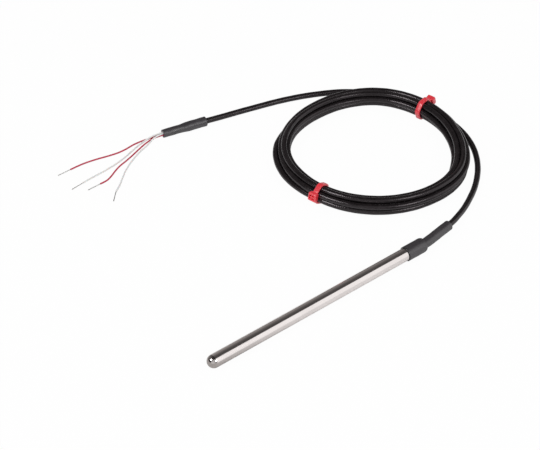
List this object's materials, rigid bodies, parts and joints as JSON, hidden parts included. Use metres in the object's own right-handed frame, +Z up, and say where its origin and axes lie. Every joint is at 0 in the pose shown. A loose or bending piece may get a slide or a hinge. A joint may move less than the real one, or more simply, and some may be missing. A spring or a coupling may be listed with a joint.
{
  "type": "cable resistance thermometer probe",
  "caption": "Temperature probe with a thin round metal sheath, a domed tip, a flexible strain relief and a tied coil of thin cable ending in bared leads.",
  "frame": {"origin": "on the sheath's axis, at the mouth of the strain relief where the sheath leaves it", "axes": "-X along the sheath towards its domed tip, +Z up; the probe lies on the plane z = -0.0033"},
  "size_m": [0.196, 0.1498, 0.0113],
  "materials": {
    "sheath_steel": "satin stainless steel",
    "ceramic": "white alumina ceramic",
    "tinned_wire": "tinned copper strands",
    "fill": "chalky white filling",
    "glass_sleeve": "varnished glass-fibre braid",
    "epoxy": "cast epoxy",
    "shrink_sleeve": "matte shrink sleeve",
    "cable_jacket": "black braided jacket",
    "tie_nylon": "glossy moulded nylon",
    "lead_red": "smooth fluoropolymer insulation",
    "lead_white": "smooth fluoropolymer insulation"
  },
  "bodies": {
    "root": {"sheath": "sheath_steel", "sensing_element": "ceramic", "element_wire_a": "tinned_wire", "element_wire_b": "tinned_wire", "thermal_fill": "fill", "splice_a": "tinned_wire", "splice_b": "tinned_wire", "insulating_sleeve": "glass_sleeve", "inner_core_red_a": "lead_red", "inner_core_red_b": "lead_red", "inner_core_white_a": "lead_white", "inner_core_white_b": "lead_white", "seal": "epoxy", "strain_relief": "shrink_sleeve", "cable_start": "cable_jacket", "cable_coil": "cable_jacket", "cable_tail": "cable_jacket", "tie_upper": "tie_nylon", "tie_lower": "tie_nylon", "end_sleeve": "shrink_sleeve", "lead_red_a": "lead_red", "lead_red_b": "lead_red", "lead_white_a": "lead_white", "lead_white_b": "lead_white", "bare_end_red_a": "tinned_wire", "bare_end_red_b": "tinned_wire", "bare_end_white_a": "tinned_wire", "bare_end_white_b": "tinned_wire"}
  },
  "joints": []
}
